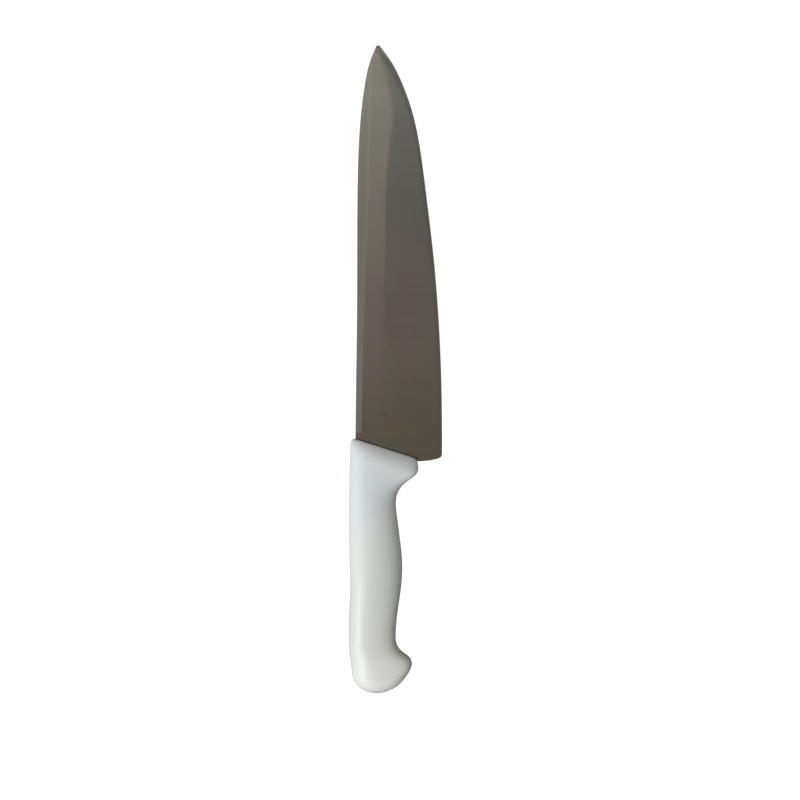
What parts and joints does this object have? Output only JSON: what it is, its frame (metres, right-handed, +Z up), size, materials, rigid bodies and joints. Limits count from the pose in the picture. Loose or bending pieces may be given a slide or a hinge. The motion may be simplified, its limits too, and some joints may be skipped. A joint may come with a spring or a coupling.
{
  "type": "chef knife",
  "caption": "Kitchen knife with a wide stamped steel blade, ground to a curved edge, and a moulded plastic handle with a finger guard and a hooked butt.",
  "frame": {"origin": "middle of the knife's bounding box, on the surface the knife lies on", "axes": "the knife lies on its side: +X runs to the tip, +Y from the cutting edge to the spine, +Z up through the blade's sides"},
  "size_m": [0.3344, 0.048, 0.0211],
  "materials": {
    "blade_steel": "ground across the blade, satin",
    "handle_plastic": "white, fine-grained satin"
  },
  "bodies": {
    "root": {"blade": "blade_steel", "handle": "handle_plastic"}
  },
  "joints": []
}
